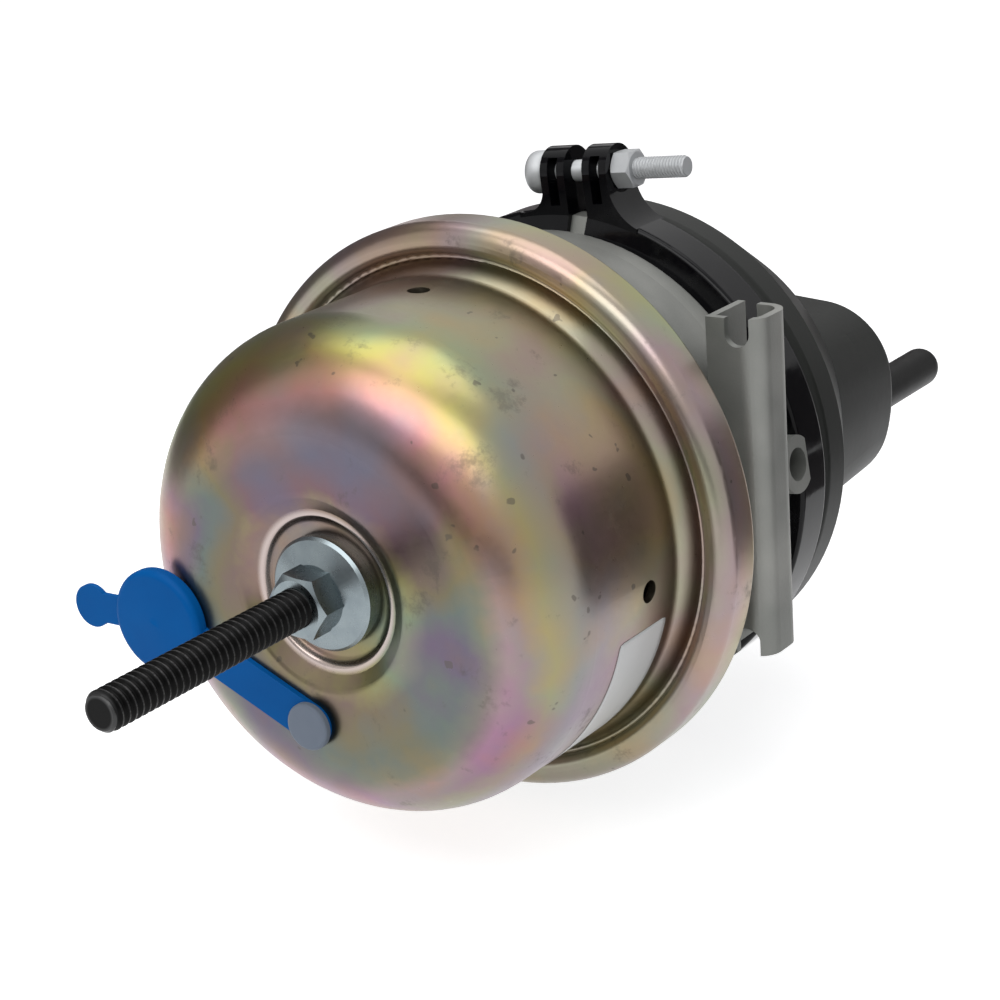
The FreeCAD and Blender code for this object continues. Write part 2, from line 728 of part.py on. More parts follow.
def release_nut():
    base = X_DISH - WASHER - SEAT_GAP
    flange = turned([
        (base, 0),
        (base, NUT_FLANGE_R),
        (base - NUT_FLANGE + 1.0, NUT_FLANGE_R),
        (base - NUT_FLANGE, NUT_FLANGE_R - 1.0),
        (base - NUT_FLANGE - 2.5, RELEASE_AF / 2 + 1.0),
        (base - NUT_FLANGE - 2.5, 0),
    ])
    nut = hexagon(RELEASE_AF, RELEASE_NUT_L, 1.4)
    nut.translate(V(base - NUT_FLANGE - RELEASE_NUT_L, 0, 0))
    hole = rod(base - 40, base + 1, BOLT_D / 2 + SLIDE_GAP)
    return nut.fuse(flange).cut(hole).removeSplitter()


def nut_washer():
    return ring(X_DISH - WASHER, X_DISH, BOLT_D / 2 + FREE_GAP, NUT_FLANGE_R - 0.7)


# Seals round the adapter rod

def rod_bush():
    body = ring(X_HUB + 1, X_CLIP, TUBE_R + SLIDE_GAP, BUSH_R)
    for x in RING_PLACES:
        body = body.cut(ring(x - 2.1, x + 2.1, TUBE_R + SLIDE_GAP - 1, TUBE_R + SLIDE_GAP + 2 * RING_R + 0.1))
    return body


def o_ring(x):
    return Part.makeTorus(TUBE_R + SLIDE_GAP + RING_R, RING_R, V(x, 0, 0), X_AXIS)


def bush_clip():
    body = ring(X_CLIP, X_CLIP + CLIP, BUSH_R - 2.0, CLIP_R)
    return body.cut(Part.makeBox(CLIP * 2, CLIP_R * 2, 8, V(X_CLIP - 1, 0, -4)))


# Push rod, its plate, boot and spring

def push_plate():
    t = 4.0
    return turned([
        (X_PUSH, 0),
        (X_PUSH, PUSH_R, 4.0),
        (X_PUSH + 7.0, PUSH_R + 1.0, 1.0),
        (X_PUSH + 7.0, PUSH_R - 2.5, 1.0),
        (X_PUSH + t, PUSH_R - 5.0, 3.0),
        (X_PUSH + t, 18.0, 2.0),
        (X_PUSH + 16.0, 14.0, 1.0),
        (X_PUSH + 16.0, ROD_D / 2),
        (X_PUSH + 8.0, ROD_D / 2),
        (X_PUSH + 8.0, 0),
    ])


def push_rod():
    end = X_FACE + ROD_OUT - ROD_D / 2
    return rod(X_PUSH + 8.0, end, ROD_D / 2).fuse(Part.makeSphere(ROD_D / 2, V(end, 0, 0))).removeSplitter()


def service_return_spring():
    r = SERVICE_WIRE / 2
    return coil(X_PUSH + 4.0 + r + 0.2, X_FACE - SHEET - BOOT_RING - r - 0.2,
                SERVICE_COIL_R0, SERVICE_COIL_R1, r, 6.5)


def parking_return_spring():
    r = PARK_WIRE / 2
    return coil(X_TUBE + RUBBER + 4.0 + r + 0.2, X_HUB - r - 0.2,
                PARK_COIL_R, PARK_COIL_R, r, 5.0)


def power_spring():
    r = POWER_WIRE / 2
    return coil(X_DOME + DOME_SHEET + r + 0.2, X_PLATE - r - 0.2,
                POWER_COIL_R, PLATE_R - 3.5 - r - 1, r, 2.25, 12, 28)


def rod_boot():
    """Bellows between the mouth of the housing and the push rod."""
    x0 = X_FACE - SHEET - 1.5
    small = ROD_D / 2 + FIT
    folds = 4
    step = BOOT_L / folds
    outer = []
    inner = []
    for i in range(folds):
        top = MOUTH_R - 3.5 - i * 2.0
        x = x0 - i * step
        outer.append((x - step * 0.25, top, 0.8))
        outer.append((x - step * 0.75, top - 6.0, 0.8))
        inner.append((x - step * 0.25, top - 1.5, 0.4))
        inner.append((x - step * 0.75, top - 7.5, 0.4))
    x_end = x0 - BOOT_L
    points = [(X_FACE - SHEET, 30.0), (x0, 30.0), (x0, MOUTH_R - 3.0)] + outer[1:]
    points += [(x_end, small + 3.0), (x_end - 5.0, small + 3.0), (x_end - 5.0, small), (x_end + 1.0, small)]
    points += list(reversed(inner[1:]))
    points += [(x0, MOUTH_R - 5.0), (X_FACE + 1.5, MOUTH_R - 5.0, 1.0), (X_FACE + 1.5, MOUTH_R - FIT, 1.0)]
    points += [(X_FACE - SHEET, MOUTH_R - FIT)]
    return turned(points)


def boot_ring():
    x0 = X_FACE - SHEET - BOOT_RING
    return turned([
        (x0, MOUTH_R - 1.0),
        (x0, BOOT_RING_R),
        (X_FACE - SHEET, BOOT_RING_R),
        (X_FACE - SHEET, 30.0 + FIT),
        (X_FACE - SHEET - 1.5 - FIT, 30.0 + FIT),
        (X_FACE - SHEET - 1.5 - FIT, MOUTH_R - 1.0),
    ])


# Dust plug on its strap, hung from a button in the dome

def dust_plug():
    back = X_DOME - 0.1
    front = back - STRAP
    along = V(0, PLUG_Y - BUTTON_Y, PLUG_Z - BUTTON_Z)
    reach = along.Length
    turn = degrees(atan2(PLUG_Z - BUTTON_Z, PLUG_Y - BUTTON_Y))
    strap = Part.makeBox(STRAP, reach, STRAP_W, V(front, 0, -STRAP_W / 2))
    strap = strap.fuse(rod(front, back, STRAP_W / 2))
    cap = turned([
        (back, 0),
        (back, PLUG_R, 1.0),
        (front - 3.5, PLUG_R, 2.5),
        (front - 4.5, 0),
    ])
    cap.translate(V(0, reach, 0))
    tab = Part.makeBox(STRAP, PLUG_R + TAB_OUT, TAB_W, V(front, 0, -TAB_W / 2))
    tab = tab.fuse(rod(front, back, TAB_R, PLUG_R + TAB_OUT, 0))
    tab.rotate(ORIGIN, X_AXIS, TAB_TURN)
    tab.translate(V(0, reach, 0))
    body = strap.fuse(cap).fuse(tab).cut(rod(front - 1, back + 1, BUTTON_PIN_R + 0.1))
    body.rotate(ORIGIN, X_AXIS, turn)
    body.translate(V(0, BUTTON_Y, BUTTON_Z))
    return body.removeSplitter()


def strap_button():
    back = X_DOME - 0.1
    body = turned([
        (back - STRAP - 2.6, 0),
        (back - STRAP - 2.6, BUTTON_R, 1.2),
        (back - STRAP - SEAT_GAP, BUTTON_R),
        (back - STRAP - SEAT_GAP, BUTTON_PIN_R),
        (X_DOME + DOME_SHEET, BUTTON_PIN_R),
        (X_DOME + DOME_SHEET, BUTTON_PIN_R + 1.0),
        (X_DOME + DOME_SHEET + 2.0, BUTTON_PIN_R),
        (X_DOME + DOME_SHEET + 2.0, 0),
    ])
    body.translate(V(0, BUTTON_Y, BUTTON_Z))
    return body


PARTS = {
    "spring_housing": spring_housing,
    "flange_case": flange_case,
    "service_housing": service_housing,
    "clamp_band_front": lambda: band_half(1),
    "clamp_band_rear": lambda: band_half(-1),
    "band_bolt_upper": lambda: band_bolt("upper"),
    "band_nut_upper": lambda: band_nut("upper"),
    "band_bolt_lower": lambda: band_bolt("lower"),
    "band_nut_lower": lambda: band_nut("lower"),
    "stud_front": lambda: stud(-1),
    "stud_rear": lambda: stud(1),
    "parking_diaphragm": parking_diaphragm,
    "power_spring": power_spring,
    "pressure_plate": pressure_plate,
    "adapter_rod": adapter_rod,
    "diaphragm_retainer": diaphragm_retainer,
    "adapter_plate": adapter_plate,
    "parking_return_spring": parking_return_spring,
    "rod_bush": rod_bush,
    "rod_ring_front": lambda: o_ring(RING_PLACES[0]),
    "rod_ring_rear": lambda: o_ring(RING_PLACES[1]),
    "bush_clip": bush_clip,
    "release_bolt": release_bolt,
    "release_nut": release_nut,
    "nut_washer": nut_washer,
    "service_diaphragm": service_diaphragm,
    "push_plate": push_plate,
    "push_rod": push_rod,
    "service_return_spring": service_return_spring,
    "rod_boot": rod_boot,
    "boot_ring": boot_ring,
    "dust_plug": dust_plug,
    "strap_button": strap_button,
}

os.makedirs("parts", exist_ok=True)
for name, make in PARTS.items():
    shape = make()
    solids = shape.Solids
    print(name, len(solids), round(sum(s.Volume for s in solids)), shape.isValid())
    if len(solids) == 1:
        shape = solids[0]
    shape.exportStep("parts/" + name + ".step")
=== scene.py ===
# %% [markdown]
# # Air brake chamber: a lesson in finishing a CAD model
#
# The solids of this brake chamber come ready from the CAD model, and each is in
# its right place. What is left to do here is what a photographer and a finisher
# would do: set the camera, light the metal softly, cut the threads, and give every
# surface the coating that the real one has. We start by loading the solids, and
# keep the box that they fill, because nothing that we add may grow past it.

# %% Load the solids
from math import cos, pi, radians, sin

import bmesh
import bpy
from mathutils import Matrix, Vector


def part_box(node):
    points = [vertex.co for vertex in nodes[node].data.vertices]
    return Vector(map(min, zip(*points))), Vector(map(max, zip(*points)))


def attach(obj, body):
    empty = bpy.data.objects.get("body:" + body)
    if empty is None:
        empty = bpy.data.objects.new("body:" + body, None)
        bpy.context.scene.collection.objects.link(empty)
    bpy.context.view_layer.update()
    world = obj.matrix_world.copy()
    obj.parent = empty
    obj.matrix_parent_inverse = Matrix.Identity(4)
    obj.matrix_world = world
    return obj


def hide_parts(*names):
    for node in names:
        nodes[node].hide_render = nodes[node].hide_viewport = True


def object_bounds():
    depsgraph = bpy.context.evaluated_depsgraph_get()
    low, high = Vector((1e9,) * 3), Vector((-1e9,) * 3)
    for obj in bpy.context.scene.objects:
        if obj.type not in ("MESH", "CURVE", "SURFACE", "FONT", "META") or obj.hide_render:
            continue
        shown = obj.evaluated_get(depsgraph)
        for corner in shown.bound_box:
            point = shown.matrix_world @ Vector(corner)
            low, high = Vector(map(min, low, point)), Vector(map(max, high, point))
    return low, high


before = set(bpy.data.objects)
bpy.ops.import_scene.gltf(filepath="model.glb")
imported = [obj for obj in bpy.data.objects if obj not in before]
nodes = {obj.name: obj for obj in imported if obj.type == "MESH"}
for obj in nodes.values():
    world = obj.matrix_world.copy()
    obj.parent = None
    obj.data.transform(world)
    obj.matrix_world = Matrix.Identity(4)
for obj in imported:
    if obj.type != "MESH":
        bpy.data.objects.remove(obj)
cad_bounds = [list(map(float, corner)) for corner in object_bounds()]
print("solids:", len(nodes), "box:", cad_bounds)

# %% [markdown]
# ## The camera
#
# The photograph was taken from behind the parking half, a little above it and to
# one side, with a fairly long lens. The three directions below are where the
# picture's right, down and depth point in the room. A camera in Blender looks
# along its own -Z with +Y up, so down and depth change sign in its matrix.

# %% Set the camera
EYE = Vector((-0.86570, -0.47311, 0.33130))
RIGHT = Vector((0.5668, -0.8239, 0.0))
DOWN = Vector((-0.3043, -0.2094, -0.9293))
DEPTH = Vector((0.7656, 0.5267, -0.3694))
LENS_MM = 88.75
SENSOR_MM = 36.0

lens = bpy.data.cameras.new("camera")
lens.lens = LENS_MM
lens.sensor_width = SENSOR_MM
camera = bpy.data.objects.new("camera", lens)
bpy.context.scene.collection.objects.link(camera)
turn = Matrix((RIGHT.normalized(), -DOWN.normalized(), -DEPTH.normalized())).transposed()
camera.matrix_world = Matrix.Translation(EYE) @ turn.to_4x4()
bpy.context.scene.camera = camera
bpy.context.scene.view_settings.view_transform = "Standard"
print("camera at", tuple(EYE), "lens", LENS_MM, "mm")

# %% [markdown]
# ## Node maths in plain Python
#
# A material in Blender is a graph of nodes. Wiring sums and products by hand is
# slow to write and slow to read. A small class that wraps a socket lets us write
# `1 - mask * 0.5` and have the Math nodes made for us. The same class serves the
# tree of Geometry Nodes that cuts the threads further down.

# %% A class for sockets
class Wire:
    """A number or colour that flows along a wire of a graph."""

    def __init__(self, graph, socket):
        self.graph = graph
        self.socket = socket

    def maths(self, operation, a, b=0.0):
        return self.graph.node("Math", {"operation": operation}, {0: a, 1: b}).out()

    def __add__(self, other):
        return self.maths("ADD", self, other)

    def __radd__(self, other):
        return self.maths("ADD", other, self)

    def __sub__(self, other):
        return self.maths("SUBTRACT", self, other)

    def __rsub__(self, other):
        return self.maths("SUBTRACT", other, self)

    def __mul__(self, other):
        return self.maths("MULTIPLY", self, other)

    def __rmul__(self, other):
        return self.maths("MULTIPLY", other, self)

    def __truediv__(self, other):
        return self.maths("DIVIDE", self, other)

    def __rtruediv__(self, other):
        return self.maths("DIVIDE", other, self)

    def power(self, other):
        return self.maths("POWER", self, other)

    def at_least(self, other):
        return self.maths("MAXIMUM", self, other)

    def absolute(self):
        return self.maths("ABSOLUTE", self)

    def clamp(self):
        return self.graph.node("Clamp", {}, {0: self}).out()

    def ramp(self, low, high, out_low=0.0, out_high=1.0):
        """Straight ramp from low..high to out_low..out_high, held at its ends."""
        values = {0: self, 1: low, 2: high, 3: out_low, 4: out_high}
        return self.graph.node("MapRange", {"clamp": True}, values).out()


print("wires can be added, multiplied and compared")

# %% [markdown]
# ## One method for every other node
#
# Every node that isn't plain maths comes from one method. It takes the node's
# type, then its settings, such as the stops of a colour ramp, and then what goes
# into its sockets: a fixed value or another node's wire.

# %% Graphs and the nodes in them
class Made:
    """A node that has just been made; out() gives one of its outputs."""

    def __init__(self, graph, node):
        self.graph = graph
        self.made = node

    def out(self, name=0):
        return Wire(self.graph, self.made.outputs[name])


class Graph:
    """The nodes of a material, of the world or of a Geometry Nodes tree."""

    def __init__(self, tree):
        self.tree = tree

    def node(self, kind, settings=None, values=None):
        full = kind.startswith(("GeometryNode", "NodeGroup"))
        node = self.tree.nodes.new(kind if full else "ShaderNode" + kind)
        for key, value in (settings or {}).items():
            if key == "stops":
                self.colour_stops(node, value)
            else:
                setattr(node, key, value)
        for key, value in (values or {}).items():
            self.feed(node.inputs[key], value)
        return Made(self, node)

    def feed(self, socket, value):
        if isinstance(value, Wire):
            self.tree.links.new(value.socket, socket)
        elif isinstance(value, tuple) and socket.type == "RGBA":
            socket.default_value = (*value, 1.0)
        else:
            socket.default_value = value

    def colour_stops(self, node, stops):
        marks = node.color_ramp.elements
        while len(marks) < len(stops):
            marks.new(0.5)
        for mark, (place, colour) in zip(marks, stops):
            mark.position = place
            mark.color = (*colour, 1.0)


print("graphs can make nodes")

# %% [markdown]
# ## A class for finishes
#
# A finish is one material: a graph that ends in the Principled shader. A number
# that is the same all over goes straight onto the shader's own socket. What
# changes over the surface reads Object coordinates, which are metres in the
# chamber's own frame, so a stain is as large as it is on the real piece and stays
# where it is when the piece moves.

# %% Finishes
class Finish(Graph):
    """One material, made round its Principled shader."""

    def __init__(self, name, **constants):
        self.material = bpy.data.materials.new(name)
        self.material.use_nodes = True
        super().__init__(self.material.node_tree)
        self.shader = self.tree.nodes["Principled BSDF"]
        for socket, value in constants.items():
            self.set(socket.replace("_", " "), value)

    def set(self, socket, value):
        self.feed(self.shader.inputs[socket], value)

    def place(self):
        return self.node("TexCoord").out("Object")

    def axes(self):
        split = self.node("SeparateXYZ", {}, {0: self.place()})
        return split.out("X"), split.out("Y"), split.out("Z")

    def radius(self):
        """Distance from the chamber's axis, in metres."""
        x, y, z = self.axes()
        return (y * y + z * z).power(0.5)

    def noise(self, scale, detail=3.0, rough=0.5):
        values = {"Vector": self.place(), "Scale": scale, "Detail": detail, "Roughness": rough}
        return self.node("TexNoise", {}, values).out()

    def mix(self, mask, a, b, blend="MIX"):
        settings = {"data_type": "RGBA", "blend_type": blend}
        return self.node("Mix", settings, {0: mask, 6: a, 7: b}).out(2)

    def colours(self, value, stops):
        return self.node("ValToRGB", {"stops": stops}, {0: value}).out()

    def bump(self, height, strength, distance):
        values = {"Height": height, "Strength": strength, "Distance": distance}
        self.set("Normal", self.node("Bump", {}, values).out())


print("finishes can be made")

# %% [markdown]
# ## Gold zinc on pressed steel
#
# The spring housing is steel sheet, zinc plated and dipped in dichromate. The film
# is so thin that it shows colours like oil on water, and its thickness follows how
# the bath ran over the pressing. An image texture could hold those colours, but it
# would need a photograph. We let the hue follow the profile of the housing: we
# walk from the dish over the shoulder and along the wall to the bead, and a colour
# ramp gives mauve, pink, yellow and olive on the way. The ramp holds painted light
# too: the end face is darkened with painted shade, and the pink and yellow bands on
# the shoulder are painted highlights. Slow noise bends the walk, so that the bands
# wander as they do on the real piece.

# %% The hue along the profile
FACE_DEPTH = 0.284
WALK_LENGTH = 0.215
# Film colour and painted light together: the dark end-face stops are painted shade, the pink and
# yellow shoulder stops painted highlights.
PROFILE_HUES_AND_PAINTED_LIGHT = [
    (0.04, (0.24, 0.22, 0.20)),
    (0.10, (0.17, 0.16, 0.15)),
    (0.15, (0.22, 0.21, 0.16)),
    (0.19, (0.155, 0.132, 0.150)),
    (0.26, (0.150, 0.142, 0.150)),
    (0.31, (0.205, 0.170, 0.155)),
    (0.36, (0.36, 0.24, 0.21)),
    (0.41, (0.34, 0.27, 0.17)),
    (0.46, (0.34, 0.33, 0.14)),
    (0.53, (0.29, 0.29, 0.19)),
    (0.62, (0.33, 0.27, 0.19)),
    (0.76, (0.36, 0.30, 0.24)),
    (0.84, (0.29, 0.25, 0.20)),
    (0.90, (0.34, 0.27, 0.25)),
    (0.97, (0.31, 0.31, 0.21)),
]

gold_zinc = Finish("gold_zinc", Metallic=1.0)
along, across, up = gold_zinc.axes()
wander = gold_zinc.noise(7.0, 2.0, 0.45)
ripple = gold_zinc.noise(26.0, 4.0, 0.6)
walk = gold_zinc.radius() + along + FACE_DEPTH
walk = walk + (wander - 0.5) * 0.055 + (ripple - 0.5) * 0.022
hue = gold_zinc.colours(walk / WALK_LENGTH, PROFILE_HUES_AND_PAINTED_LIGHT)
print("profile hues:", len(PROFILE_HUES_AND_PAINTED_LIGHT))

# %% [markdown]
# ## Oil-film colours
#
# Over the broad bands lie patches of green, yellow, pink and blue, as thin as a
# film of oil. They are a second ramp on slow noise, multiplied over the first, and
# fade towards the bead. The film is bluer low down on the shoulder, on the side of
# the flange case's pocket, so that part gets a tint of its own.

# %% The oil film and the tint low down
OIL_HUES = [
    (0.14, (0.78, 1.00, 0.78)),
    (0.26, (1.00, 0.98, 0.52)),
    (0.36, (1.00, 0.72, 0.64)),
    (0.46, (0.78, 0.70, 0.92)),
    (0.55, (0.74, 0.98, 0.82)),
    (0.65, (1.00, 0.95, 0.50)),
    (0.75, (1.00, 0.70, 0.70)),
    (0.88, (0.76, 0.76, 0.98)),
]
BLUER = (0.90, 0.76, 1.25)

below = (across * -0.5 - up).ramp(-0.065, -0.025)
below = below * walk.ramp(0.068, 0.085) * walk.ramp(0.150, 0.125)
hue = gold_zinc.mix(below, hue, BLUER, "MULTIPLY")
film = gold_zinc.noise(9.0, 3.0, 0.5) * 1.7 - 0.35 + (ripple - 0.5) * 0.3
strength = 0.85 - (walk / WALK_LENGTH).ramp(0.40, 0.60) * 0.35
hue = gold_zinc.mix(strength, hue, gold_zinc.colours(film, OIL_HUES), "MULTIPLY")
print("oil hues:", len(OIL_HUES))

# %% [markdown]
# ## The rib's painted highlight, scuffs and stains
#
# A rib is pressed round the dish. Its crest gets a bright colour of its own, a
# painted highlight, and more gloss than the film beside it. Handling leaves fine
# scuffs, a few brown stains and small dark scrapes. Stains and scrapes are noises
# cut off at a high value, so that only their peaks show. Scuffs and stains also go
# into the roughness, because a soiled place is duller than clean metal.

# %% Rib, scuffs, stains and scrapes
RIB_R = 0.0272
RIB_HALF = 0.0024
RIB_PAINTED_HIGHLIGHT = (0.46, 0.39, 0.37)
DIRT = (0.09, 0.08, 0.07)

rib = (gold_zinc.radius() - RIB_R).absolute().ramp(RIB_HALF, 0.0)
rib = rib * rib * (3.0 - rib * 2.0)
# Painted highlight: the rib's crest is mixed towards a bright colour.
hue = gold_zinc.mix(rib * 0.8, hue, RIB_PAINTED_HIGHLIGHT)
scuff = gold_zinc.noise(420.0, 3.0, 0.7)
stain = gold_zinc.noise(48.0, 6.0, 0.75).ramp(0.59, 0.68)
scrape = gold_zinc.noise(140.0, 2.0, 0.5).ramp(0.725, 0.745)
dirt = (stain * 0.4 + scrape * 0.6).clamp()
gold_zinc.set("Base Color", gold_zinc.mix(dirt, hue, DIRT))
gold_zinc.set("Roughness", (scuff * 0.12 + stain * 0.12 + 0.24 - rib * 0.10).clamp())
gold_zinc.bump(gold_zinc.noise(150.0, 3.0, 0.6) * 0.03, 1.0, 0.001)
print("gold zinc has", len(gold_zinc.tree.nodes), "nodes")

# %% [markdown]
# ## Casting and black paint
#
# The flange case is a sand-grey casting. Its skin is a fine orange peel, which is
# far too small to model, so it is a bump, and its grey drifts from place to place.
# The clamp band has glossy black paint, with a little dust that takes the gloss
# away. A single flat colour would make both look like plastic.

# %% Casting and black paint
cast = Finish("cast_aluminium", Metallic=0.55)
grain = cast.noise(900.0, 2.0, 0.5)
cloud = cast.noise(22.0, 3.0, 0.5)
cast.set("Base Color", cast.mix(cloud.ramp(0.35, 0.65), (0.21, 0.215, 0.20), (0.31, 0.31, 0.29)))
cast.set("Roughness", (grain * 0.12 + cloud * 0.10 + 0.38).clamp())
cast.bump(grain * 0.6 + cast.noise(160.0, 3.0, 0.6) * 0.4, 0.25, 0.0004)

black_paint = Finish("black_paint", Specular_IOR_Level=0.16)
dust = black_paint.noise(55.0, 4.0, 0.65).ramp(0.50, 0.75)
black_paint.set("Base Color", black_paint.mix(dust, (0.002, 0.002, 0.003), (0.008, 0.008, 0.009)))
black_paint.set("Roughness", dust * 0.15 + 0.07)
black_paint.bump(black_paint.noise(260.0, 2.0, 0.5), 0.06, 0.0003)
print("casting and black paint made")

# %% [markdown]
# ## Plated, blackened and turned steel
#
# The release nut is bright zinc. The release bolt is black oxide, a thin layer
# that wears through first on the crests of the thread and round the tip, so bare
# metal shows there. Those brighter crests and the tip's bright rim are painted
# highlights as well. The pieces inside were turned on a lathe, which leaves fine
# rings: a sine of the radius makes them. Spring wire has a thin black coating.

# %% Bright zinc and black oxide
CREST_RADII = (0.00690, 0.00700)
TIP_PLACES = (-0.3872, -0.3884)
TIP_RADII = (0.0046, 0.0054)

silver_zinc = Finish("silver_zinc", Metallic=1.0)
cloud = silver_zinc.noise(120.0, 3.0, 0.5)
silver_zinc.set("Base Color", silver_zinc.mix(cloud, (0.15, 0.18, 0.20), (0.26, 0.30, 0.31)))
silver_zinc.set("Roughness", silver_zinc.noise(300.0, 2.0, 0.5) * 0.12 + 0.22)
silver_zinc.bump(silver_zinc.noise(220.0, 2.0, 0.5), 0.05, 0.0002)

black_oxide = Finish("black_oxide", Specular_IOR_Level=0.08)
wear = black_oxide.noise(600.0, 3.0, 0.7)
reach = black_oxide.radius()
along = black_oxide.axes()[0]
# Crests and tip rim: bare metal from wear, and painted highlight lines.
crest = reach.ramp(*CREST_RADII) * wear.ramp(0.25, 0.60)
rim = along.ramp(*TIP_PLACES) * reach.ramp(*TIP_RADII)
wear_and_highlight = (crest + rim * 0.7).clamp()
black_oxide.set("Base Color", black_oxide.mix(wear_and_highlight, (0.001, 0.001, 0.001), (0.08, 0.08, 0.08)))
black_oxide.set("Metallic", wear_and_highlight * 0.9)
black_oxide.set("Roughness", wear * 0.15 + 0.28)
black_oxide.bump(wear, 0.08, 0.0002)
print("black oxide has", len(black_oxide.tree.nodes), "nodes")

# %% Turned steel and spring wire
RING_WIDTH = 2 * pi / 9000.0

turned_steel = Finish("turned_steel", Metallic=1.0)
radius = turned_steel.radius()
rings = radius.maths("SINE", radius * (2 * pi / RING_WIDTH))
cloud = turned_steel.noise(40.0)
turned_steel.set("Base Color", turned_steel.mix(cloud, (0.34, 0.34, 0.33), (0.48, 0.48, 0.46)))
turned_steel.set("Roughness", turned_steel.noise(300.0) * 0.15 + 0.25)
turned_steel.bump(rings * 0.5, 0.08, 0.0001)

spring_black = Finish("spring_black", Coat_Weight=0.3, Coat_Roughness=0.3)
wear = spring_black.noise(80.0, 4.0, 0.6)
spring_black.set("Base Color", spring_black.mix(wear, (0.015, 0.015, 0.016), (0.05, 0.048, 0.045)))
spring_black.set("Roughness", wear * 0.2 + 0.4)
spring_black.bump(wear, 0.15, 0.0004)
print("a lathe ring every", round(RING_WIDTH * 1000, 2), "mm")

# %% [markdown]
# ## Finishes that only drift
#
# Satin paint, zinc flake, rubber, moulded plastic and the label's film have one
# thing in common: their colour and gloss drift a little with one slow noise, over
# a skin of fine grain. So one function makes them all, and each finish is a row
# of numbers: the drift, its two colours, how dull it is and how much that
# changes, and the grain with its strength and height.

# %% A clouded finish
def clouded(name, drift, colours, dull, change, grain, strength, height, **constants):
    """A finish whose colour and gloss drift with one noise, over a fine grain."""
    finish = Finish(name, **constants)
    cloud = finish.noise(*drift)
    finish.set("Base Color", finish.mix(cloud, *colours))
    finish.set("Roughness", cloud * change + dull)
    finish.bump(finish.noise(*grain), strength, height)
    return finish


grey_paint = clouded(
    "grey_paint", (18.0, 3.0), [(0.008, 0.009, 0.008), (0.018, 0.019, 0.017)],
    0.38, 0.12, (320.0, 2.0), 0.12, 0.0003, Specular_IOR_Level=0.18)
grey_flake = clouded(
    "grey_flake", (200.0, 2.0), [(0.42, 0.43, 0.44), (0.50, 0.51, 0.52)],
    0.45, 0.10, (900.0, 2.0), 0.05, 0.0001, Metallic=0.5)
rubber = clouded(
    "rubber", (50.0, 4.0, 0.6), [(0.012, 0.012, 0.012), (0.032, 0.031, 0.030)],
    0.60, 0.20, (900.0, 2.0), 0.20, 0.0003)
blue_plastic = clouded(
    "blue_plastic", (45.0, 3.0), [(0.000, 0.085, 0.32), (0.000, 0.120, 0.41)],
    0.42, 0.12, (800.0, 2.0), 0.08, 0.0002, Specular_IOR_Level=0.08)
pale_plastic = clouded(
    "pale_plastic", (120.0, 3.0), [(0.17, 0.205, 0.26), (0.205, 0.24, 0.30)],
    0.50, 0.10, (700.0, 3.0), 0.06, 0.0002, Specular_IOR_Level=0.25)
black_plastic = clouded(
    "black_plastic", (160.0, 3.0), [(0.002, 0.002, 0.002), (0.006, 0.006, 0.006)],
    0.34, 0.12, (900.0, 3.0), 0.08, 0.0002, Specular_IOR_Level=0.15)
label_film = clouded(
    "label_film", (70.0, 3.0), [(0.72, 0.73, 0.72), (0.80, 0.80, 0.79)],
    0.35, 0.10, (250.0, 3.0), 0.05, 0.0002, Coat_Weight=0.2, Coat_Roughness=0.25)
print("seven clouded finishes made")

# %% [markdown]
# ## Dressing the solids
#
# Each solid was packed with a plain stand-in material. We could give each face its
# own, but every piece here has one coating. So we leave its mesh alone and only
# put our finish in its material slots.

# %% Put a finish on every solid
FINISHES = {
    gold_zinc: ["spring_housing"],
    cast: ["flange_case"],
    grey_paint: ["service_housing"],
    black_paint: ["clamp_band_front", "clamp_band_rear", "pressure_plate", "boot_ring"],
    silver_zinc: ["release_nut", "nut_washer"],
    grey_flake: ["band_bolt_upper", "band_nut_upper", "band_bolt_lower", "band_nut_lower"],
    black_oxide: ["release_bolt"],
    black_plastic: ["stud_front", "stud_rear", "rod_bush"],
    turned_steel: ["adapter_rod", "diaphragm_retainer", "adapter_plate", "push_plate",
                   "push_rod", "bush_clip"],
    spring_black: ["power_spring", "parking_return_spring", "service_return_spring"],
    rubber: ["parking_diaphragm", "service_diaphragm", "rod_boot", "rod_ring_front",
             "rod_ring_rear"],
    blue_plastic: ["dust_plug"],
    pale_plastic: ["strap_button"],
}
for finish, names in FINISHES.items():
    for name in names:
        slots = nodes[name].data.materials
        for i in range(len(slots)):
            slots[i] = finish.material
        if not len(slots):
            slots.append(finish.material)
left = sorted(set(nodes) - {n for names in FINISHES.values() for n in names})
print("solids without a finish:", left)

# %% [markdown]
# ## Cutting the threads
#
# A thread is one groove wound round a bar. The CAD model leaves it out and gives a
# plain bar at full size. Geometry Nodes can wind it for us: start from a plain
# tube of many rings, and push each point inwards by an amount that depends on how
# far along the bar it is, less how far round it is. One tree serves every bolt
# here, because the radius, the pitch and the depth are inputs.

# %% The inputs of the thread tree
THREAD_INPUTS = {
    "Radius": "NodeSocketFloat",
    "Length": "NodeSocketFloat",
    "Pitch": "NodeSocketFloat",
    "Depth": "NodeSocketFloat",
    "Chamfer": "NodeSocketFloat",
    "Rings": "NodeSocketInt",
    "Finish": "NodeSocketMaterial",
}
cut_thread = bpy.data.node_groups.new("cut_thread", "GeometryNodeTree")
cut_thread.interface.new_socket("Geometry", in_out="OUTPUT", socket_type="NodeSocketGeometry")
for name, kind in THREAD_INPUTS.items():
    cut_thread.interface.new_socket(name, in_out="INPUT", socket_type=kind)
thread = Graph(cut_thread)
enter = thread.node("NodeGroupInput")
leave = thread.node("NodeGroupOutput").made
print("thread inputs:", list(THREAD_INPUTS))

# %% The groove
SIDES = 40
FLANK = (0.12, 0.38)
TURNS_AHEAD = 100.0
NEAR_AXIS = 1e-6

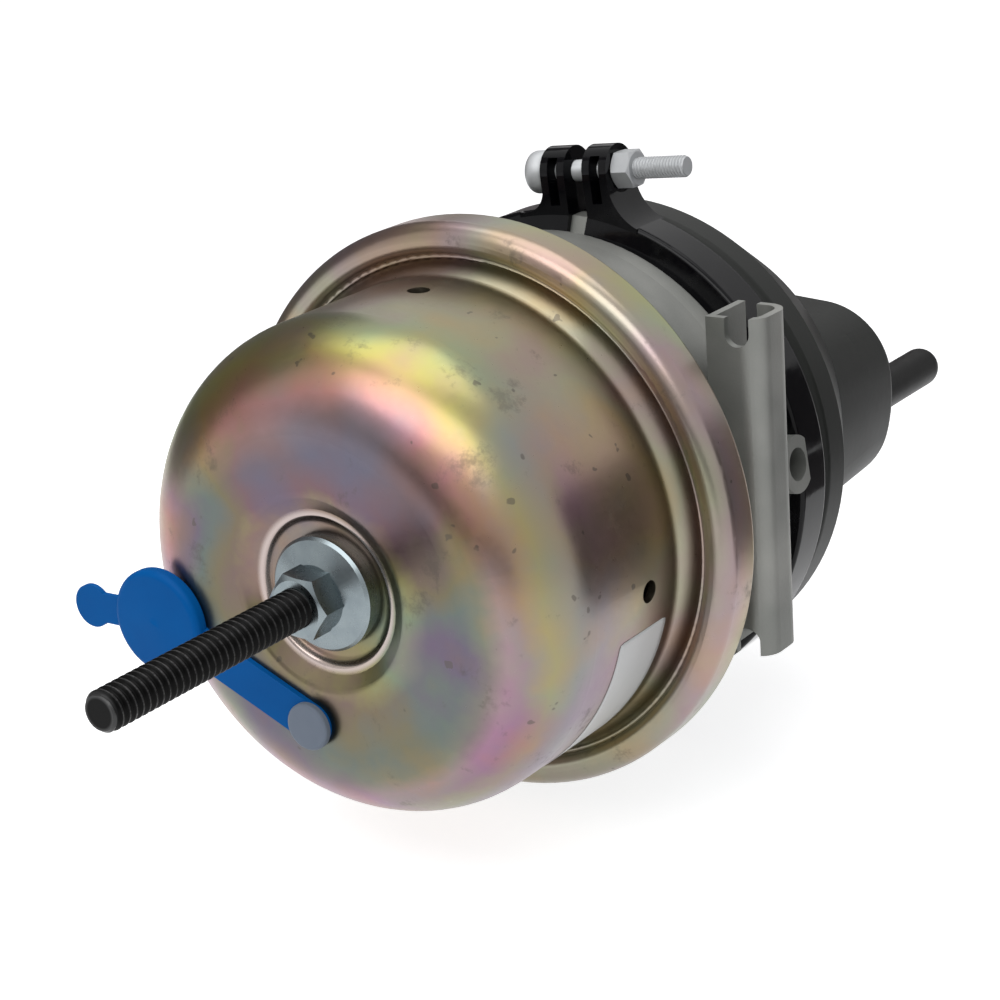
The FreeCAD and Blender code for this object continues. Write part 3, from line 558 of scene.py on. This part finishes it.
length = enter.out("Length")
tube = thread.node("GeometryNodeMeshCylinder", {"fill_type": "NGON"}, {
    "Vertices": SIDES, "Side Segments": enter.out("Rings"),
    "Radius": enter.out("Radius"), "Depth": length})
point = thread.node("SeparateXYZ", {}, {0: thread.node("GeometryNodeInputPosition").out()})
x, y, z = point.out(0), point.out(1), point.out(2)
turns = x.maths("ARCTAN2", y, x) / (2 * pi)
wound = x.maths("FRACT", z / enter.out("Pitch") - turns + TURNS_AHEAD)
groove = (wound - 0.5).absolute().ramp(*FLANK)
to_end = length / 2.0 - z.absolute()
chamfer = to_end.ramp(0.0, enter.out("Chamfer"), 1.0, 0.0)
new_radius = enter.out("Radius") - groove.at_least(chamfer) * enter.out("Depth")
old_radius = x.maths("SQRT", x * x + y * y)
share = new_radius / old_radius.at_least(NEAR_AXIS)
moved = thread.node("CombineXYZ", {}, {0: x * share, 1: y * share, 2: z})
print("the groove takes", len(cut_thread.nodes), "nodes")

# %% The end of the tree
cut = thread.node("GeometryNodeSetPosition", {}, {
    "Geometry": tube.out("Mesh"), "Position": moved.out()})
real = thread.node("GeometryNodeRealizeInstances", {}, {0: cut.out()})
done = thread.node("GeometryNodeSetMaterial", {}, {
    "Geometry": real.out(), "Material": enter.out("Finish")})
thread.feed(leave.inputs[0], done.out())
print("thread tree has", len(cut_thread.nodes), "nodes")

# %% [markdown]
# ## From a tree to a plain mesh
#
# The bolts are to be handed over as plain meshes that stand at the origin, with
# their place in their points. So a throwaway object carries the tree, its result
# is taken as a mesh, and the mesh is then turned and moved to where the bar is.

# %% Make a threaded bar
RINGS_A_TURN = 10
ROUND_ANGLE = 50.0


def added(name, mesh):
    """An object with this mesh, linked into the scene."""
    obj = bpy.data.objects.new(name, mesh)
    bpy.context.scene.collection.objects.link(obj)
    return obj


def threaded_bar(name, start, direction, finish, sizes):
    """Threaded bar from start along direction; sizes in metres."""
    holder = added(name + "_maker", bpy.data.meshes.new(name + "_maker"))
    maker = holder.modifiers.new("thread", "NODES")
    maker.node_group = cut_thread
    rings = int(sizes["Length"] / sizes["Pitch"] * RINGS_A_TURN)
    values = {**sizes, "Rings": rings, "Finish": finish.material}
    for item in cut_thread.interface.items_tree:
        if item.item_type == "SOCKET" and item.in_out == "INPUT":
            maker[item.identifier] = values[item.name]
    graph = bpy.context.evaluated_depsgraph_get()
    mesh = bpy.data.meshes.new_from_object(holder.evaluated_get(graph), depsgraph=graph)
    bpy.data.objects.remove(holder)
    mesh.name = name
    along = Vector(direction).normalized()
    mesh.transform(along.to_track_quat("Z", "Y").to_matrix().to_4x4())
    mesh.transform(Matrix.Translation(Vector(start) + along * sizes["Length"] / 2))
    return added(name, mesh)


def smooth(obj, angle=35.0):
    """Smooth shading, with edges sharper than the angle kept crisp."""
    for polygon in obj.data.polygons:
        polygon.use_smooth = True
    obj.data.set_sharp_from_angle(angle=radians(angle))


print("bars can be threaded,", RINGS_A_TURN, "rings a turn")

# %% [markdown]
# ## Cutting a piece from a solid
#
# A new thread replaces the solid bolt, and yet the bolt's head has to stay. We
# take a copy of the solid, merge its loose triangles, cut it at a plane and close
# the cut. The solid itself is never changed.

# %% Keep one end of a solid
MERGE_WITHIN = 1e-6


def copy_of(node, name):
    """A merged copy of a CAD solid's mesh, to shape further."""
    mesh = nodes[node].data.copy()
    mesh.name = name
    work = bmesh.new()
    work.from_mesh(mesh)
    bmesh.ops.remove_doubles(work, verts=work.verts, dist=MERGE_WITHIN)
    work.to_mesh(mesh)
    work.free()
    return added(name, mesh)


def end_of(node, name, point, way, finish):
    """What lies beyond point along way of a solid's copy, with the cut closed."""
    piece = copy_of(node, name)
    work = bmesh.new()
    work.from_mesh(piece.data)
    parts = work.verts[:] + work.edges[:] + work.faces[:]
    cut = bmesh.ops.bisect_plane(work, geom=parts, plane_co=point, plane_no=way, clear_inner=True)
    edges = [e for e in cut["geom_cut"] if isinstance(e, bmesh.types.BMEdge)]
    bmesh.ops.holes_fill(work, edges=edges, sides=0)
    bmesh.ops.recalc_face_normals(work, faces=work.faces)
    work.to_mesh(piece.data)
    work.free()
    piece.data.materials.clear()
    piece.data.materials.append(finish.material)
    smooth(piece)
    return piece


print("solids can be copied and cut")

# %% [markdown]
# ## The release bolt
#
# The long black bolt is threaded from its chamfered tip down to its cross head.
# We make a threaded bar, cut the cross head from a copy of the solid, and let the
# two stand for the CAD bolt. They overlap by half a millimetre, so no gap shows.

# %% Release bolt
BOLT_R = 0.0070
CROSS_HEAD = 0.0080
OVERLAP = 0.0005

low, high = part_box("release_bolt")
bolt = threaded_bar("release_bolt_thread", (low.x, 0, 0), (1, 0, 0), black_oxide, {
    "Radius": BOLT_R, "Length": high.x - CROSS_HEAD - low.x,
    "Pitch": 0.003, "Depth": 0.00125, "Chamfer": 0.0016})
smooth(bolt, ROUND_ANGLE)
head_start = (high.x - CROSS_HEAD - OVERLAP, 0, 0)
cross_head = end_of("release_bolt", "release_bolt_head", head_start, (1, 0, 0), black_oxide)
for piece in (bolt, cross_head):
    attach(piece, "release_bolt")
    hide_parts("release_bolt")
print("bolt faces:", len(bolt.data.polygons))

# %% [markdown]
# ## The band bolts
#
# The clamp band's bolts are the same thing in small: a round head, a plain shank,
# and a thread on the end that shows past the nut. Each bolt leans with the band's
# ears. Its solid is cut just inside the nut, and a new threaded end is set on.

# %% Band bolts
BAND_BOLT_R = 0.0040
INSIDE_NUT = 0.001
BOLT_LEAN = 10.0
lift = radians(BOLT_LEAN)
WAYS = {
    "upper": Vector((0, -cos(lift), sin(lift))),
    "lower": Vector((0, cos(lift), -sin(lift))),
}
for place, way in WAYS.items():
    node = "band_bolt_" + place
    corners = [Vector(v.co) for v in nodes[node].data.vertices]
    nut = [Vector(v.co) for v in nodes["band_nut_" + place].data.vertices]
    nut_centre = sum(nut, Vector()) / len(nut)
    end = max(c.dot(way) for c in corners)
    nut_end = max(c.dot(way) for c in nut)
    start = nut_centre + way * (nut_end - nut_centre.dot(way) - INSIDE_NUT)
    threaded_end = threaded_bar(node + "_thread", start, way, grey_flake, {
        "Radius": BAND_BOLT_R, "Length": end - nut_end + INSIDE_NUT,
        "Pitch": 0.00125, "Depth": 0.0006, "Chamfer": 0.0009})
    smooth(threaded_end, ROUND_ANGLE)
    shank = end_of(node, node + "_shank", start + way * OVERLAP, -way, grey_flake)
    for piece in (threaded_end, shank):
        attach(piece, "chamber")
        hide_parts(node)
    print(node, "faces:", len(threaded_end.data.polygons), len(shank.data.polygons))

# %% [markdown]
# ## The pressed rib
#
# A low round rib is pressed into the sloping wall of the dish, all the way round
# the nut, to stiffen it. A bump would do for one picture, but it would be lost in
# the exported shape. It is laid on as a closed ring: its cross-section is a
# smooth hump on the slope, with its foot sunk into the sheet, and the section is
# turned round the axis.

# %% The rib's cross-section
RIB_HIGH = 0.0009
RIB_SUNK = 0.0001
RIB_FOOT = 0.0008
SLOPE = 0.5526
WALL_X, WALL_R = -0.279713, 0.0275


def rib_section(points=17):
    """Cross-section of the rib as (x, radius) pairs, hump first, then its foot."""
    lean = (1 + SLOPE * SLOPE) ** 0.5
    out_x, out_r = -1 / lean, -SLOPE / lean
    section = []
    for i in range(points):
        share = 2 * i / (points - 1) - 1
        r = RIB_R + share * RIB_HALF
        rise = 1 - abs(share)
        high = RIB_HIGH * rise * rise * (3 - 2 * rise) - RIB_SUNK
        x = WALL_X - SLOPE * (r - WALL_R)
        section.append((x + out_x * high, r + out_r * high))
    for r in (RIB_R + RIB_HALF, RIB_R - RIB_HALF):
        x = WALL_X - SLOPE * (r - WALL_R)
        section.append((x - out_x * RIB_FOOT, r - out_r * RIB_FOOT))
    return section


print("rib section:", len(rib_section()), "points")

# %% The rib turned round the axis
RIB_STEPS = 120


def turned_ring(name, section, steps, finish):
    """Closed ring: the section turned about the chamber's axis."""
    count = len(section)
    corners = [(x, r * cos(2 * pi * k / steps), r * sin(2 * pi * k / steps))
               for k in range(steps) for x, r in section]
    faces = []
    for k in range(steps):
        here, there = k * count, (k + 1) % steps * count
        for i in range(count):
            j = (i + 1) % count
            faces.append((here + i, here + j, there + j, there + i))
    mesh = bpy.data.meshes.new(name)
    mesh.from_pydata(corners, [], faces)
    work = bmesh.new()
    work.from_mesh(mesh)
    bmesh.ops.recalc_face_normals(work, faces=work.faces)
    work.to_mesh(mesh)
    work.free()
    mesh.materials.append(finish.material)
    return added(name, mesh)


rib_ring = turned_ring("dish_rib", rib_section(), RIB_STEPS, gold_zinc)
smooth(rib_ring, ROUND_ANGLE)
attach(rib_ring, "chamber")
print("rib faces:", len(rib_ring.data.polygons))

# %% [markdown]
# ## The data label
#
# A film label is stuck on the dome's side, plain white here. A flat card would
# stand off the round wall, so the label is a grid bent round a cylinder, a hair
# above the metal. Its corners are rounded by pulling the grid's corner points in,
# and Solidify gives it the thickness of a film.

# %% Data label
LABEL = {"x0": -0.2350, "x1": -0.2060, "top": -9.0, "bottom": -56.0, "r": 0.08854}
LABEL_CORNER = 0.0015
LABEL_THICK = 0.00018
COLUMNS, ROWS = 12, 40


def pulled_in(u, v, width, height, corner):
    """A point of the flat label, moved onto the round corner if it is outside it."""
    du = max(corner - u, u - (width - corner), 0.0)
    dv = max(corner - v, v - (height - corner), 0.0)
    if du > 0 and dv > 0:
        pull = min(1.0, corner / (du * du + dv * dv) ** 0.5)
        u += (du - du * pull) * (1 if u < corner else -1)
        v += (dv - dv * pull) * (1 if v < corner else -1)
    return u, v


def data_label(x0, x1, top, bottom, r):
    """Label on the dome's wall, from angle top to bottom, in degrees from -Y."""
    height = radians(top - bottom) * r
    work = bmesh.new()
    grid = []
    for i in range(COLUMNS + 1):
        line = []
        for k in range(ROWS + 1):
            flat = i / COLUMNS * (x1 - x0), k / ROWS * height
            u, v = pulled_in(*flat, x1 - x0, height, LABEL_CORNER)
            a = radians(top) - v / r
            line.append(work.verts.new((x0 + u, -r * cos(a), r * sin(a))))
        grid.append(line)
    for i in range(COLUMNS):
        for k in range(ROWS):
            work.faces.new((grid[i][k], grid[i][k + 1], grid[i + 1][k + 1], grid[i + 1][k]))
    bmesh.ops.recalc_face_normals(work, faces=work.faces)
    mesh = bpy.data.meshes.new("data_label")
    work.to_mesh(mesh)
    work.free()
    centre = mesh.polygons[0].center
    if mesh.polygons[0].normal.dot(Vector((0, centre.y, centre.z))) < 0:
        mesh.flip_normals()
    mesh.materials.append(label_film.material)
    return added("data_label", mesh)


label = data_label(**LABEL)
thick = label.modifiers.new("thickness", "SOLIDIFY")
thick.thickness = LABEL_THICK
thick.offset = 1.0
smooth(label)
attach(label, "chamber")
print("label faces:", len(label.data.polygons))

# %% [markdown]
# ## The lights
#
# Product photographs of metal are lit with large soft boxes, because polished metal
# shows whatever is around it, and a small lamp would show as a hard white dot. One
# broad box stands high behind the camera, and a second hangs overhead.

# %% Lights
AIM = Vector((-0.20, 0.0, 0.02))
SOFT_BOXES = {
    "key_box": {"place": (-1.00, -0.10, 0.95), "width": 1.3, "height": 0.7, "watts": 8.5},
    "top_box": {"place": (-0.10, 0.15, 1.10), "width": 1.0, "height": 0.8, "watts": 4.5},
}
for name, box in SOFT_BOXES.items():
    light = bpy.data.lights.new(name, "AREA")
    light.shape = "RECTANGLE"
    light.size = box["width"]
    light.size_y = box["height"]
    light.energy = box["watts"]
    lamp = added(name, light)
    lamp.location = box["place"]
    lamp.rotation_euler = (AIM - Vector(box["place"])).to_track_quat("-Z", "Y").to_euler()
print("soft boxes:", list(SOFT_BOXES))

# %% [markdown]
# ## The white studio
#
# The backdrop is white to the camera and to reflections, so that the metal shows
# it too, but it gives the chamber only a dim, even light. Light Path tells us
# which kind of ray is asking, and a Mix Shader gives each its own answer. The
# world does this, and so does the floor, which keeps the chamber's shadow.

# %% A surface that is white to the eye and dim to the rest
def white_when_seen(graph, dim, white, leave):
    """Camera, glossy and transmission rays get the white shader, the rest the dim one."""
    ray = graph.node("LightPath")
    seen = ray.out("Is Camera Ray")
    for kind in ("Is Glossy Ray", "Is Transmission Ray"):
        seen = seen.at_least(ray.out(kind))
    choose = graph.node("MixShader", {}, {0: seen, 1: dim, 2: white})
    graph.feed(leave.inputs[0], choose.out())


print("one switch serves the world and the floor")

# %% The world
world = bpy.data.worlds.new("studio")
bpy.context.scene.world = world
world.use_nodes = True
sky = Graph(world.node_tree)
background = sky.tree.nodes["Background"]
sky.feed(background.inputs["Color"], (0.92, 0.95, 1.0))
sky.feed(background.inputs["Strength"], 0.35)
white = sky.node("Background", {}, {"Color": (1.0, 1.0, 1.0), "Strength": 1.0})
white_when_seen(sky, Made(sky, background).out(), white.out(), sky.tree.nodes["World Output"])
print("world has", len(sky.tree.nodes), "nodes")

# %% [markdown]
# ## The floor
#
# The chamber lies on a wide white card. A lamp strong enough to make the card
# white would wash out the metal, so a glow is added to its matt paint, which the
# eye and the reflections see. It lies half a millimetre below the chamber, so that
# no two faces fall together.

# %% The floor
def card(name, corners, finish):
    """Flat stage piece from its four corners."""
    mesh = bpy.data.meshes.new(name)
    mesh.from_pydata(corners, [], [(0, 1, 2, 3)])
    mesh.materials.append(finish.material)
    obj = added(name, mesh)
    return obj


FLOOR_GAP = 0.0005
FLOOR_REACH = 6
floor_z = cad_bounds[0][2] - FLOOR_GAP
floor_paint = Finish("floor_paint", Base_Color=(0.80, 0.80, 0.80), Roughness=0.9)
matt = Made(floor_paint, floor_paint.shader).out()
glow = floor_paint.node("Emission", {}, {"Strength": 0.78}).out()
lit = floor_paint.node("AddShader", {}, {0: matt, 1: glow}).out()
white_when_seen(floor_paint, matt, lit, floor_paint.tree.nodes["Material Output"])
sides = [(-1, -1), (1, -1), (1, 1), (-1, 1)]
card("floor", [(FLOOR_REACH * a, FLOOR_REACH * b, floor_z) for a, b in sides], floor_paint)
print("floor at z", round(floor_z, 4))

# %% [markdown]
# ## Flags
#
# Dark cloth stands round the set, as a metal photographer puts it, so that the
# housing isn't washed out by all the white and gets its dark edges. Each flag is
# a plain card outside the picture. The camera doesn't see them and they cast no
# shadow. What they do is darken what the metal and the paint mirror.

# %% Flags
FLAG_GAP = 0.001
low_z = floor_z + FLAG_GAP
flag_cloth = Finish("flag_cloth", Base_Color=(0.28, 0.26, 0.26), Roughness=0.95)
STANDING_FLAGS = {
    "left_flag": ((-0.60, 0.62), (0.60, 0.75), 0.75),
    "right_flag": ((0.00, -0.62), (0.90, -0.62), 0.30),
    "back_flag": ((0.90, -0.30), (0.70, 0.75), 0.35),
    "camera_flag": ((-1.60, -1.30), (-1.60, 0.50), 0.22),
}
flags = [
    card(name, [(*a, low_z), (*b, low_z), (*b, top), (*a, top)], flag_cloth)
    for name, (a, b, top) in STANDING_FLAGS.items()
]
lying = [(0.02, -0.90), (0.60, -0.90), (0.60, -0.26), (0.02, -0.26)]
flags.append(card("floor_flag", [(*corner, low_z) for corner in lying], flag_cloth))
for flag in flags:
    flag.visible_camera = False
    flag.visible_shadow = False
print("flags:", [flag.name for flag in flags])
